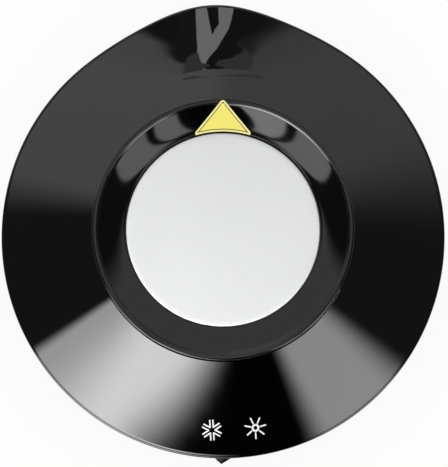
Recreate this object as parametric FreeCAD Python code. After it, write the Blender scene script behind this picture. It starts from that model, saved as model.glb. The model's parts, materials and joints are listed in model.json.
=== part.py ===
import FreeCAD, Part
import math
import os

# Electric mug warmer and cooler, built as separate pieces in millimetres.
# The origin is on the axis of the cup plate at table level, +Z is up,
# the rocker faces -Y and the rear hood with the power inlet points to +Y.

# Driving dimensions of the conical cover
rim_radius = 75.0
rim_height = 16.3
rim_lip = 1.1
rim_undercut = 0.6
cover_top_height = 39.632
cover_wall = 2.0
rim_nose = 0.8
cover_inner_radius = 43.6
collar_gap = 0.3
deck_inner_radius = 31.0
deck_top = 36.0
deck_wall = 2.0
rib_width = 1.5
rib_half_front_deg = 20.0

# Rear hood, a hump that fans out from a point on the cone
hood_apex = 46.0
hood_fan_deg = 72.0
hood_sector_deg = 38.0
hood_crease_radius = 55.0
hood_crease_blend = 1.6
hood_rise = 14.9
hood_reach = 1.7
hood_sections = 16
hood_points = 12

# Dish ring and plate
seat_gap = 0.3
dish_inner_radius = 32.5
dish_inner_height = 42.1
dish_outer_height = 43.8
dish_sag = 0.25
bead_radius = 0.9
bead_rise = 0.7
dish_wall = 2.0
plate_radius = 32.0
plate_thickness = 3.0
plate_top = 42.5
plate_edge = 0.4
gasket_width = 2.0
gasket_thickness = 0.8
ledge_thickness = 1.3
ledge_overlap = 0.6

# Base pan
foot_height = 2.0
floor_thickness = 2.0
pan_inset = 3.0
pan_wall = 2.0
pan_edge_round = 1.5
pan_gap = 0.2
locating_depth = 3.0
foot_radius = 6.0
foot_inset = 14.0
foot_clearance = 0.15
foot_edge = 0.5
foot_pocket = 0.8
vent_width = 2.0
vent_pitch = 4.2
intake_radius = 26.0
exhaust_first_deg = 42.0
exhaust_last_deg = 138.0
exhaust_count = 20
exhaust_bottom = 7.0
exhaust_top = 14.0

# Rear panel and power inlet
panel_half_deg = 30.0
panel_sill = 1.0
panel_gap = 0.3
panel_slot_count = 7
panel_slot_pitch_deg = 7.0
panel_slot_bottom = 22.0
panel_slot_fall = 3.5
panel_slot_margin = 2.0
panel_slot_least = 2.5
panel_slot_top = 26.5
panel_slot_width = 1.8
panel_tab_depth = 1.2
panel_tab_over_deg = 3.0
panel_flat_depth = 0.6
inlet_height = 13.5
inlet_barrel_radius = 4.0
inlet_flange_radius = 5.6
inlet_flange = 1.5
inlet_length = 15.0
inlet_bore_radius = 2.9
inlet_bore_depth = 9.5
inlet_pin_radius = 1.0
inlet_nut_across = 11.0
inlet_nut_thickness = 2.0
inlet_nut_gap = 0.6
inlet_pin_setback = 1.0
pin_tail = 3.0

# Cooling stack
sink_length = 64.0
sink_width = 64.0
sink_wing_width = 76.0
sink_base = 4.0
sink_fin_height = 11.0
sink_fin_count = 15
sink_fin_thickness = 1.2
sink_post = 7.0
sink_screw_inset = 3.0
sink_screw_y = 18.0
deck_spacer = 2.0
module_size = 40.0
module_plate = 0.8
pellet = 1.8
pellet_rows = 9
pellet_margin = 2.0
module_thickness = 3.8
block_size = 38.0
foam_clearance = 0.3
foam_notch = 18.0

# Fan
fan_size = 60.0
fan_thickness = 10.0
fan_bore_radius = 28.0
fan_sink_gap = 1.0
fan_hole_pitch = 25.0
hub_radius = 13.0
hub_wall = 1.2
hub_depth = 6.5
blade_count = 9
blade_tip_gap = 0.8
blade_thickness = 1.0
blade_pitch_deg = 38.0
blade_width = 7.0
strut_width = 3.0
strut_thickness = 1.5
shaft_radius = 1.5
shaft_running_gap = 0.03
bearing_radius = 3.0
bearing_length = 5.5
magnet_thickness = 1.4
stator_radius = 9.6
stator_thickness = 3.0
stator_poles = 4
stator_gap = 0.03

# Screws
screw_radius = 1.4
screw_clearance = 0.1
screw_head_radius = 2.6
screw_head_height = 1.5
screw_cross_share = 0.6
screw_slot = 0.35
screw_tip_gap = 0.3
case_screw_inset = 12.0
case_boss_radius = 3.6
case_boss_foot = 6.0
case_screw_length = 12.0
ring_boss_inset = 5.1
ring_boss_cover = 0.8
ring_boss_radius = 3.0
ring_screw_length = 4.6
fan_screw_length = 16.0
sink_screw_length = 6.6

# Rocker switch
switch_height = 9.6
switch_flange_length = 21.0
switch_flange_height = 12.4
switch_flange = 1.5
switch_body_length = 19.0
switch_body_height = 11.0
switch_body_depth = 11.0
switch_wall = 1.0
switch_recess = 0.2
switch_clearance = 0.2
switch_body_clearance = 0.1
cap_radius = 8.2
cap_height = 8.4
cap_gap = 0.3
cap_face_deg = 14.0
cap_throw_deg = 14.0
cap_valley = 3.8
cap_back = 0.9
pivot_depth = 1.4
pivot_radius = 1.0
pivot_running_gap = 0.05
terminal_pitch = 6.0
terminal_width = 4.8
terminal_thickness = 0.8
terminal_length = 6.0

# Control board, lamps and the marks over them
board_width = 40.0
board_setback = 7.5
board_depth = 22.5
board_thickness = 1.6
board_height = 16.2
board_screw_x = 16.0
board_screw_inset = 4.0
pillar_radius = 3.0
mark_x = 7.3
mark_inset = 9.6
mark_stroke = 0.55
mark_gap = 0.03
mark_block_radius = 4.5
mark_foot = 16.4
mark_board_gap = 0.3
mark_inlay = 0.9
snow_arm = 3.8
snow_spread = 0.5
sun_ring_radius = 1.08
sun_ray_start = 1.75
sun_ray_end = 4.1
sun_rays = 7
lamp_length = 3.5
lamp_width = 2.8
lamp_height = 1.4
lamp_setback = 2.1
relay_length = 10.0
relay_width = 5.5
relay_height = 4.0
capacitor_radius = 2.5
capacitor_height = 5.0
socket_length = 6.0
socket_width = 4.0
socket_height = 5.0
socket_pitch = 8.5

# Safety parts and leads
cutout_length = 12.0
cutout_thickness = 3.2
cutout_height = 6.0
sensor_radius = 1.2
sensor_depth = 7.0
sensor_clearance = 0.05
lead_radius = 0.6
lead_pitch = 2.0

# Blank sticker on the dish
sticker_turn_deg = 3.0
sticker_half_width = 9.1
sticker_bottom_radius = 33.0
sticker_top_radius = 41.3
sticker_side_y = 31.6
sticker_corner = 1.0
sticker_border = 0.75
sticker_thickness = 0.12

# Heights and radii that follow from the driving dimensions
floor_bottom = foot_height
floor_top = floor_bottom + floor_thickness
rim_top_radius = rim_radius - rim_nose
rim_top_height = rim_height + rim_lip
cover_slope = (cover_top_height - rim_top_height) / (rim_top_radius - cover_inner_radius)
cover_drop = cover_wall / math.cos(math.atan(cover_slope))
pan_radius = rim_radius - pan_inset
pan_top = rim_top_height + (rim_top_radius - pan_radius) * cover_slope - cover_drop - pan_gap
plate_bottom = plate_top - plate_thickness
ledge_top = plate_bottom - gasket_thickness
ledge_bottom = ledge_top - ledge_thickness
deck_bottom = deck_top - deck_wall
sink_top = deck_bottom - deck_spacer
sink_bottom = sink_top - sink_base
fin_bottom = sink_bottom - sink_fin_height
module_top = sink_top + module_thickness
fan_top = fin_bottom - fan_sink_gap
fan_bottom = fan_top - fan_thickness
ring_outer_radius = cover_inner_radius - seat_gap
bead_centre_radius = ring_outer_radius - bead_radius
bead_crest_height = dish_outer_height + bead_rise
bead_centre_height = bead_crest_height - bead_radius
bead_inner_radius = bead_centre_radius - bead_radius
pivot_y = -(pan_radius - pan_wall)
switch_seat_y = -(pan_radius - pan_wall / 2 - switch_recess)
foot_circle = pan_radius - foot_inset
case_screw_circle = pan_radius - case_screw_inset
ring_boss_circle = cover_inner_radius - ring_boss_inset
sink_screw_x = sink_wing_width / 2 - sink_screw_inset
board_front = pan_radius - board_setback
board_back = board_front - board_depth
board_screw_y = board_back + board_screw_inset
mark_y = rim_radius - mark_inset


def vec(x, y, z):
    return FreeCAD.Vector(x, y, z)


def around(radius, angle_deg, z=0.0):
    """Point at a radius, at an angle from +Y towards +X."""
    angle = math.radians(angle_deg)
    return vec(radius * math.sin(angle), radius * math.cos(angle), z)


def line(start, end):
    return Part.LineSegment(start, end).toShape()


def arc(start, middle, end):
    return Part.Arc(start, middle, end).toShape()


def turned(edges, start_deg=0.0, sweep_deg=360.0):
    """Solid of revolution about Z of a closed outline drawn in the +Y half of the YZ plane."""
    face = Part.Face(Part.Wire(edges))
    face.rotate(vec(0, 0, 0), vec(0, 0, 1), -start_deg)
    return face.revolve(vec(0, 0, 0), vec(0, 0, 1), -sweep_deg)


def outline(points):
    """Closed straight outline through (radius, height) points in the YZ plane."""
    corners = [vec(0, radius, height) for radius, height in points]
    corners.append(corners[0])
    return Part.makePolygon(corners).Edges


def turned_polygon(points, start_deg=0.0, sweep_deg=360.0):
    return turned(outline(points), start_deg, sweep_deg)


def box(x_low, x_high, y_low, y_high, z_low, z_high):
    return Part.makeBox(x_high - x_low, y_high - y_low, z_high - z_low, vec(x_low, y_low, z_low))


def rod(radius, x, y, z_low, z_high):
    return Part.makeCylinder(radius, z_high - z_low, vec(x, y, z_low))


def rod_y(radius, x, z, y_low, y_high):
    return Part.makeCylinder(radius, y_high - y_low, vec(x, y_low, z), vec(0, 1, 0))


def prism(points, z_low, z_high):
    """Upright prism on a straight outline of (x, y) points."""
    corners = [vec(x, y, z_low) for x, y in points]
    corners.append(corners[0])
    return Part.Face(Part.makePolygon(corners)).extrude(vec(0, 0, z_high - z_low))


def four_corners(x, y):
    return [(sx * x, sy * y) for sx in (-1, 1) for sy in (-1, 1)]


def four_round(circle):
    """Four places on a circle, midway between the axes."""
    step = circle * math.sin(math.radians(45))
    return four_corners(step, step)


def screw(x, y, head_low, length, head_radius=screw_head_radius):
    """Upright screw with its head below, a cross recess in the head."""
    head_top = head_low + screw_head_height
    body = rod(head_radius, x, y, head_low, head_top)
    body = body.fuse(rod(screw_radius, x, y, head_top, head_top + length))
    arm = head_radius * screw_cross_share
    depth = screw_head_height * screw_cross_share
    cross = box(x - arm, x + arm, y - screw_slot, y + screw_slot, head_low, head_low + depth)
    cross = cross.fuse(box(x - screw_slot, x + screw_slot, y - arm, y + arm, head_low, head_low + depth))
    return body.cut(cross)


def export(name, shape):
    shape.exportStep("parts/" + name + ".step")
    print(name, len(shape.Solids), "solids, valid", shape.isValid(), "volume", round(shape.Volume, 1))


def group(shapes):
    return Part.makeCompound(shapes)


os.makedirs("parts", exist_ok=True)


# Cover surface, a plain cone with the hood raised on its rear sector
def cone_height(radius):
    return rim_top_height + (rim_top_radius - radius) * cover_slope


def hood_weight(radius, angle_deg):
    """Raised cosine across the hood, fanning out from the apex on the rear axis."""
    place = around(radius, angle_deg)
    fan = abs(math.degrees(math.atan2(place.x, place.y - hood_apex)))
    if fan >= hood_fan_deg:
        return 0.0
    return 0.5 * (1.0 + math.cos(math.pi * fan / hood_fan_deg))


def hood_ramp(radius):
    """Zero inside the crease, then a straight rise, joined by a parabola."""
    past = radius - hood_crease_radius
    if past <= -hood_crease_blend:
        return 0.0
    if past < hood_crease_blend:
        past = (past + hood_crease_blend) ** 2 / (4.0 * hood_crease_blend)
    return past / (rim_top_radius - hood_crease_radius)


def cover_height(radius, angle_deg):
    lift = hood_rise * hood_ramp(radius) * hood_weight(radius, angle_deg)
    return cone_height(radius) + lift


def rim_reach(angle_deg):
    return rim_top_radius + hood_reach * hood_weight(rim_top_radius, angle_deg)


def smooth_edge(places):
    curve = Part.BSplineCurve()
    curve.interpolate(places)
    return curve.toShape()


def hood_section(angle_deg, upper_drop, lower_drop, flat_bottom=None):
    """Closed radial section of the hood between two drops below the top surface."""
    reach = rim_reach(angle_deg)
    radii = [cover_inner_radius + (reach - cover_inner_radius) * i / (hood_points - 1.0)
             for i in range(hood_points)]
    top = [around(r, angle_deg, cover_height(r, angle_deg) - upper_drop) for r in radii]
    edges = [smooth_edge(top)]
    if flat_bottom is None:
        undercut = reach - rim_undercut
        radii = [cover_inner_radius + (undercut - cover_inner_radius) * i / (hood_points - 1.0)
                 for i in range(hood_points)]
        under = [around(r, angle_deg, cover_height(r, angle_deg) - lower_drop) for r in radii]
        nose = around(reach + rim_nose, angle_deg, top[-1].z - lower_drop * 0.5)
        edges.append(arc(top[-1], nose, under[-1]))
        edges.append(smooth_edge(list(reversed(under))))
        edges.append(line(under[0], top[0]))
    else:
        outer_foot = around(reach, angle_deg, flat_bottom)
        inner_foot = around(cover_inner_radius, angle_deg, flat_bottom)
        edges.append(line(top[-1], outer_foot))
        edges.append(line(outer_foot, inner_foot))
        edges.append(line(inner_foot, top[0]))
    return Part.Wire(edges)


def hood_loft(upper_drop, lower_drop, flat_bottom=None):
    step = 2.0 * hood_sector_deg / hood_sections
    angles = [-hood_sector_deg + step * i for i in range(hood_sections + 1)]
    wires = [hood_section(a, upper_drop, lower_drop, flat_bottom) for a in angles]
    return Part.makeLoft(wires, True, False)


# Upper shell: skirt, hood, collar, deck, locating rib and bosses
def cone_outline():
    """The same radial section as the hood's ends, in straight lines and one arc."""
    top_inner = vec(0, cover_inner_radius, cone_height(cover_inner_radius))
    top_outer = vec(0, rim_top_radius, rim_top_height)
    nose = vec(0, rim_radius, rim_top_height - cover_drop * 0.5)
    under_radius = rim_top_radius - rim_undercut
    under_outer = vec(0, under_radius, cone_height(under_radius) - cover_drop)
    under_inner = vec(0, cover_inner_radius, cone_height(cover_inner_radius) - cover_drop)
    return [line(top_inner, top_outer), arc(top_outer, nose, under_outer),
            line(under_outer, under_inner), line(under_inner, top_inner)]


plain_sweep = 360.0 - 2.0 * hood_sector_deg
shell = turned(cone_outline(), hood_sector_deg, plain_sweep)

collar_inner = cover_inner_radius + collar_gap
collar_outer = collar_inner + deck_wall
collar_top = cone_height(collar_outer) - cover_drop * 0.5
collar = turned_polygon([(deck_inner_radius, deck_bottom), (collar_outer, deck_bottom),
                         (collar_outer, collar_top), (collar_inner, collar_top),
                         (collar_inner, deck_top), (deck_inner_radius, deck_top)])
shell = shell.fuse(collar)

rib_outer = pan_radius - pan_wall - seat_gap
rib_inner = rib_outer - rib_width
rib_low = pan_top - locating_depth
rib_drop = cover_drop * 0.5
rib_points = [(rib_inner, rib_low), (rib_outer, rib_low),
              (rib_outer, cone_height(rib_outer) - rib_drop),
              (rib_inner, cone_height(rib_inner) - rib_drop)]
rib_sweep = 180.0 - rib_half_front_deg - hood_sector_deg
shell = shell.fuse(turned_polygon(rib_points, hood_sector_deg, rib_sweep))
shell = shell.fuse(turned_polygon(rib_points, 180.0 + rib_half_front_deg, rib_sweep))

mid_wall_foot = rim_top_radius + (rim_top_height - cover_drop * 0.5) / cover_slope
mid_wall_cone = Part.makeCone(mid_wall_foot, 0.0, mid_wall_foot * cover_slope)
for x, y in four_round(case_screw_circle):
    boss = rod(case_boss_radius, x, y, case_boss_foot, cover_top_height).common(mid_wall_cone)
    shell = shell.fuse(boss)
for x, y in four_round(case_screw_circle):
    hole_top = case_boss_foot + case_screw_length
    shell = shell.cut(rod(screw_radius + screw_clearance, x, y, case_boss_foot - 1.0, hole_top))
for x, y in four_corners(sink_screw_x, sink_screw_y):
    shell = shell.fuse(rod(case_boss_radius, x, y, sink_top, deck_bottom + 0.5))
    screw_tip = sink_bottom + sink_screw_length + screw_tip_gap
    shell = shell.cut(rod(screw_radius + screw_clearance, x, y, sink_top - 1.0, screw_tip))
for x, y in four_round(ring_boss_circle):
    shell = shell.cut(rod(screw_radius + screw_clearance, x, y, deck_bottom - 1.0, deck_top + 1.0))


# Marks in the cover: each is a light guide whose strokes come up through slits
def stroke(x1, y1, x2, y2, z_low, z_high, width):
    """Upright bar with round ends from one point to another."""
    length = math.hypot(x2 - x1, y2 - y1)
    along = vec((x2 - x1) / length, (y2 - y1) / length, 0) * (width / 2.0)
    side = vec(-along.y, along.x, 0)
    start = vec(x1, y1, z_low)
    end = vec(x2, y2, z_low)
    edges = [line(start + side, end + side), arc(end + side, end + along, end - side),
             line(end - side, start - side), arc(start - side, start - along, start + side)]
    return Part.Face(Part.Wire(edges)).extrude(vec(0, 0, z_high - z_low))


def snowflake(x, y, z_low, z_high, width):
    """Six nested chevrons whose legs run beside the six arm lines."""
    shapes = []
    for k in range(6):
        middle = math.radians(30.0 + 60.0 * k)
        tip = snow_spread / math.sin(math.radians(30.0))
        tip_x = x + tip * math.sin(middle)
        tip_y = y + tip * math.cos(middle)
        legs = []
        for side in (-1, 1):
            arm = middle + side * math.radians(30.0)
            end_x = x + snow_arm * math.sin(arm) - side * snow_spread * math.cos(arm)
            end_y = y + snow_arm * math.cos(arm) + side * snow_spread * math.sin(arm)
            legs.append(stroke(tip_x, tip_y, end_x, end_y, z_low, z_high, width))
        shapes.append(legs[0].fuse(legs[1]).removeSplitter())
    return shapes


def sun_ring(x, y, z_low, z_high, width):
    ring = rod(sun_ring_radius + width / 2.0, x, y, z_low, z_high)
    return ring.cut(rod(sun_ring_radius - width / 2.0, x, y, z_low, z_high))


def sun(x, y, z_low, z_high, width):
    """Seven rays, the first straight towards the front, and four legs under the ring."""
    shapes = []
    for k in range(sun_rays):
        angle = math.radians(180.0 + 360.0 * k / sun_rays)
        dx = math.sin(angle)
        dy = math.cos(angle)
        shapes.append(stroke(x + sun_ray_start * dx, y + sun_ray_start * dy,
                             x + sun_ray_end * dx, y + sun_ray_end * dy, z_low, z_high, width))
    for k in range(4):
        angle = math.radians(90.0 * k)
        shapes.append(rod(width * 0.3, x + sun_ring_radius * math.sin(angle),
                          y + sun_ring_radius * math.cos(angle),
                          z_low, z_high))
    return shapes


mark_high = cone_height(mark_y - snow_arm - 1.0) + 1.0
board_top = board_height + board_thickness
guide_step = board_top + lamp_height + mark_board_gap
cone_reach = rim_top_radius - 1.0
under_cone = turned_polygon([(0.0, 0.0), (cone_reach, 0.0), (cone_reach, cone_height(cone_reach)),
                             (0.0, cone_height(0.0))])
guide_cone = under_cone.copy()
guide_cone.translate(vec(0, 0, -cover_drop - mark_gap))
inlay_cone = under_cone.copy()
inlay_cone.translate(vec(0, 0, -mark_inlay))
over_board = box(-board_width, board_width, -board_front - mark_board_gap, 0.0, 0.0, guide_step)
for name, mark, side in (("cool_light_guide", snowflake, -1), ("heat_light_guide", sun, 1)):
    x = side * mark_x
    wide_stroke = mark_stroke + 2.0 * mark_gap
    shell = shell.cut(group(mark(x, -mark_y, mark_foot, mark_high, wide_stroke)))
    guide = rod(mark_block_radius, x, -mark_y, mark_foot, mark_high).common(guide_cone)
    for bar in mark(x, -mark_y, mark_foot + 0.5, mark_high, mark_stroke):
        guide = guide.fuse(bar.common(under_cone))
    if mark is sun:
        groove = sun_ring(x, -mark_y, mark_foot, mark_high, wide_stroke)
        shell = shell.cut(groove.cut(inlay_cone))
        ring = sun_ring(x, -mark_y, mark_foot, mark_high, mark_stroke)
        guide = guide.fuse(ring.common(under_cone).cut(inlay_cone))
    export(name, guide.cut(over_board).removeSplitter())

shell = shell.fuse(hood_loft(0.0, cover_drop))
export("upper_shell", shell)


# Dish ring: bead, shallow dish, seat for the plate and bosses for its screws
def dish_top_edges(lift):
    """Top line of the dish from the plate's edge to the bead, raised straight up by a lift."""
    dish_inner = vec(0, dish_inner_radius, dish_inner_height + lift)
    dish_outer = vec(0, bead_inner_radius, dish_outer_height + lift)
    middle = vec(0, (dish_inner_radius + bead_inner_radius) / 2.0,
                 (dish_inner_height + dish_outer_height) / 2.0 - dish_sag + lift)
    return dish_inner, middle, dish_outer


dish_inner, dish_middle, dish_outer = dish_top_edges(0.0)
bead_crest = vec(0, bead_centre_radius, bead_crest_height)
bead_side = vec(0, ring_outer_radius, bead_centre_height)
bead_outer_turn = vec(0, bead_centre_radius + bead_radius * math.cos(math.radians(45)),
                      bead_centre_height + bead_radius * math.sin(math.radians(45)))
bead_inner_turn = vec(0, bead_centre_radius - bead_radius * math.cos(math.radians(40)),
                      bead_centre_height + bead_radius * math.sin(math.radians(40)))
ring_edges = [arc(dish_inner, dish_middle, dish_outer),
              arc(dish_outer, bead_inner_turn, bead_crest),
              arc(bead_crest, bead_outer_turn, bead_side)]
ring_lower = [(ring_outer_radius, deck_top), (ring_outer_radius - dish_wall, deck_top),
              (ring_outer_radius - dish_wall, dish_outer_height - dish_wall),
              (plate_radius + gasket_thickness + dish_wall, dish_inner_height - dish_wall),
              (plate_radius + gasket_thickness + dish_wall, ledge_bottom),
              (plate_radius - gasket_width - ledge_overlap, ledge_bottom),
              (plate_radius - gasket_width - ledge_overlap, ledge_top),
              (dish_inner_radius, ledge_top), (dish_inner_radius, dish_inner_height)]
path = [bead_side] + [vec(0, r, z) for r, z in ring_lower]
for start, end in zip(path, path[1:]):
    ring_edges.append(line(start, end))
dish_ring = turned(ring_edges)
for x, y in four_round(ring_boss_circle):
    boss_top = min(dish_inner_height, dish_outer_height) - ring_boss_cover
    boss = rod(ring_boss_radius, x, y, deck_top, boss_top)
    dish_ring = dish_ring.fuse(boss)
    hole_top = deck_bottom + ring_screw_length + screw_tip_gap
    dish_ring = dish_ring.cut(rod(screw_radius + screw_clearance, x, y, deck_top - 1.0, hole_top))
export("dish_ring", dish_ring)

plate = rod(plate_radius, 0, 0, plate_bottom, plate_top)
plate = plate.makeChamfer(plate_edge, [e for e in plate.Edges if abs(e.BoundBox.ZMin - plate_top) < 0.01
                                       and abs(e.BoundBox.ZMax - plate_top) < 0.01])
export("cup_plate", plate)

gasket = rod(plate_radius, 0, 0, ledge_top, plate_bottom)
gasket = gasket.cut(rod(plate_radius - gasket_width, 0, 0, ledge_top, plate_bottom))
export("plate_gasket", gasket)


# Blank sticker on the rear of the dish: a pale backing and a yellow face
def sticker_outline(inset):
    """Rounded triangle whose foot follows the dish's inner edge, in by an inset all round."""
    side_slope = math.atan2(sticker_top_radius - sticker_side_y, sticker_half_width)
    top = sticker_top_radius - inset / math.cos(side_slope)
    side = sticker_half_width - inset / math.tan(side_slope / 2.0)
    foot = sticker_side_y + inset
    triangle = Part.makePolygon([vec(-side, foot - 0.6, 0), vec(side, foot - 0.6, 0), vec(0, top, 0),
                                 vec(-side, foot - 0.6, 0)])
    solid = Part.Face(triangle).extrude(vec(0, 0, bead_crest_height + 10.0))
    uprights = [e for e in solid.Edges if abs(e.BoundBox.ZLength) > 5.0]
    solid = solid.makeFillet(sticker_corner, uprights)
    solid = solid.cut(rod(sticker_bottom_radius + inset, 0, 0, -1.0, bead_crest_height + 20.0))
    solid.rotate(vec(0, 0, 0), vec(0, 0, 1), -sticker_turn_deg)
    return solid


def dish_film(low, high):
    """Thin film that follows the dish between two heights above it."""
    lower = dish_top_edges(low)
    upper = dish_top_edges(high)
    return turned([arc(*lower), line(lower[2], upper[2]), arc(*reversed(upper)),
                   line(upper[0], lower[0])])


export("label_backing", dish_film(0.0, sticker_thickness).common(sticker_outline(0.0)))
export("label_face", dish_film(sticker_thickness,
                               1.5 * sticker_thickness).common(sticker_outline(sticker_border)))


# Cooling stack
half_block = block_size / 2.0
sensor_height = module_top + (plate_bottom - module_top) / 2.0
block = box(-half_block, half_block, -half_block, half_block, module_top, plate_bottom)
sensor_bore = rod_y(sensor_radius + sensor_clearance, 0, sensor_height, -half_block - 1.0,
                    -half_block + sensor_depth)
block = block.cut(sensor_bore)
export("cold_block", block)

half_module = module_size / 2.0
module = box(-half_module, half_module, -half_module, half_module, sink_top, sink_top + module_plate)
module = module.fuse(box(-half_module, half_module, -half_module, half_module, module_top - module_plate,
                         module_top))
pellet_pitch = (module_size - 2.0 * pellet_margin) / (pellet_rows - 1.0)
for row in range(pellet_rows):
    for column in range(pellet_rows):
        x = -half_module + pellet_margin + row * pellet_pitch
        y = -half_module + pellet_margin + column * pellet_pitch
        module = module.fuse(box(x - pellet / 2, x + pellet / 2, y - pellet / 2, y + pellet / 2,
                                 sink_top + module_plate / 2, module_top - module_plate / 2))
export("thermoelectric_module", module)

foam_radius = deck_inner_radius - foam_clearance
foam_top = ledge_bottom - foam_clearance / 2
foam = rod(foam_radius, 0, 0, sink_top, foam_top)
foam_module = half_module + foam_clearance
foam_block = half_block + foam_clearance
foam = foam.cut(box(-foam_module, foam_module, -foam_module, foam_module, sink_top - 1.0, module_top))
foam = foam.cut(box(-foam_block, foam_block, -foam_block, foam_block, module_top - 1.0, foam_top + 1.0))
foam = foam.cut(box(-foam_notch / 2, foam_notch / 2, -foam_radius - 1.0, -half_block, sink_top - 1.0,
                    foam_top + 1.0))
export("module_foam_ring", foam)

half_wing = sink_wing_width / 2.0
half_length = sink_length / 2.0
half_width = sink_width / 2.0
sink = box(-half_wing, half_wing, -half_length, half_length, sink_bottom, sink_top)
fin_pitch = (sink_width - sink_fin_thickness) / (sink_fin_count - 1.0)
for i in range(sink_fin_count):
    x = -half_width + fin_pitch * i
    sink = sink.fuse(box(x, x + sink_fin_thickness, -half_length, half_length, fin_bottom,
                         sink_bottom + 0.5))
half_post = sink_post / 2.0
for x, y in four_corners(fan_hole_pitch, fan_hole_pitch):
    sink = sink.fuse(box(x - half_post, x + half_post, y - half_post, y + half_post, fin_bottom,
                         sink_bottom + 0.5))
sink = sink.removeSplitter()
fan_screw_foot = fan_bottom - screw_head_height
fan_screw_tip = fan_bottom + fan_screw_length
for x, y in four_corners(fan_hole_pitch, fan_hole_pitch):
    sink = sink.cut(rod(screw_radius + screw_clearance, x, y, fin_bottom - 1.0,
                        fan_screw_tip + screw_tip_gap))
for x, y in four_corners(sink_screw_x, sink_screw_y):
    sink = sink.cut(rod(screw_radius + screw_clearance, x, y, sink_bottom - 1.0, sink_top + 1.0))
export("heat_sink", sink)

sink_screws = [screw(x, y, sink_bottom - screw_head_height, sink_screw_length)
               for x, y in four_corners(sink_screw_x, sink_screw_y)]
export("heat_sink_screws", group(sink_screws))
ring_screws = [screw(x, y, deck_bottom - screw_head_height, ring_screw_length)
               for x, y in four_round(ring_boss_circle)]
export("ring_screws", group(ring_screws))


# Fan
half_fan = fan_size / 2.0
hub_top = fan_top - 0.8
hub_bottom = hub_top - hub_depth
mount_top = fan_bottom + strut_thickness
bearing_top = mount_top + bearing_length
frame = box(-half_fan, half_fan, -half_fan, half_fan, fan_bottom, fan_top)
frame = frame.makeFillet(3.0, [e for e in frame.Edges if e.BoundBox.ZLength > 5.0])
frame = frame.cut(rod(fan_bore_radius, 0, 0, fan_bottom - 1.0, fan_top + 1.0))
for k in range(4):
    strut = box(hub_radius - 2.0, fan_bore_radius + 1.0, -strut_width / 2, strut_width / 2, fan_bottom,
                mount_top)
    strut.rotate(vec(0, 0, 0), vec(0, 0, 1), 45.0 + 90.0 * k)
    frame = frame.fuse(strut)
frame = frame.fuse(rod(hub_radius, 0, 0, fan_bottom, mount_top))
sleeve_radius = bearing_radius + 1.0
frame = frame.fuse(rod(sleeve_radius, 0, 0, fan_bottom, bearing_top))
frame = frame.cut(rod(bearing_radius, 0, 0, mount_top, bearing_top + 1.0))
for x, y in four_corners(fan_hole_pitch, fan_hole_pitch):
    frame = frame.cut(rod(screw_radius + screw_clearance, x, y, fan_bottom - 1.0, fan_top + 1.0))
export("fan_frame", frame.removeSplitter())

bearing = rod(bearing_radius, 0, 0, mount_top, bearing_top)
bearing = bearing.cut(rod(shaft_radius + shaft_running_gap, 0, 0, mount_top - 1.0, bearing_top + 1.0))
export("fan_bearing", bearing)

stator_low = mount_top + 0.4
stator = rod(stator_radius, 0, 0, stator_low, stator_low + stator_thickness)
for k in range(stator_poles):
    window = box(sleeve_radius + 1.6, stator_radius - 1.6, -3.0, 3.0, stator_low - 1.0,
                 stator_low + stator_thickness + 1.0)
    window.rotate(vec(0, 0, 0), vec(0, 0, 1), 45.0 + 360.0 * k / stator_poles)
    slot = box(stator_radius - 2.0, stator_radius + 1.0, -0.5, 0.5, stator_low - 1.0,
               stator_low + stator_thickness + 1.0)
    slot.rotate(vec(0, 0, 0), vec(0, 0, 1), 45.0 + 360.0 * k / stator_poles)
    stator = stator.cut(window).cut(slot)
stator_bore = sleeve_radius + stator_gap
stator = stator.cut(rod(stator_bore, 0, 0, stator_low - 1.0, stator_low + stator_thickness + 1.0))
export("fan_stator", stator)

hub_inner = hub_radius - hub_wall
hub = rod(hub_radius, 0, 0, hub_bottom, hub_top)
hub = hub.cut(rod(hub_inner, 0, 0, hub_bottom - 1.0, hub_top - hub_wall))
shaft_top = hub_top - hub_wall / 2.0
hub = hub.cut(rod(shaft_radius, 0, 0, hub_bottom, shaft_top))
blade_tip = fan_bore_radius - blade_tip_gap
rotor = hub
half_chord = blade_width / 2.0
for k in range(blade_count):
    blade = box(hub_radius - 0.6, fan_bore_radius + 4.0, -half_chord - 1.0, half_chord + 1.0,
                -blade_thickness / 2, blade_thickness / 2)
    blade.rotate(vec(0, 0, 0), vec(1, 0, 0), blade_pitch_deg)
    blade.translate(vec(0, 0, (hub_top + hub_bottom) / 2.0))
    blade.rotate(vec(0, 0, 0), vec(0, 0, 1), 360.0 * k / blade_count)
    rotor = rotor.fuse(blade)
sweep_low = mount_top + 0.6
sweep = rod(blade_tip, 0, 0, sweep_low, hub_top)
rotor = rotor.common(sweep)
rotor = rotor.cut(rod(hub_inner, 0, 0, hub_bottom - 5.0, hub_top - hub_wall))
export("fan_rotor", rotor.removeSplitter())

magnet = rod(hub_inner, 0, 0, hub_bottom + 0.5, hub_top - hub_wall)
magnet = magnet.cut(rod(hub_inner - magnet_thickness, 0, 0, hub_bottom, hub_top))
export("fan_magnet", magnet)
export("fan_shaft", rod(shaft_radius, 0, 0, mount_top + 0.3, shaft_top))
fan_screws = [screw(x, y, fan_screw_foot, fan_screw_length)
              for x, y in four_corners(fan_hole_pitch, fan_hole_pitch)]
export("fan_screws", group(fan_screws))


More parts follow.
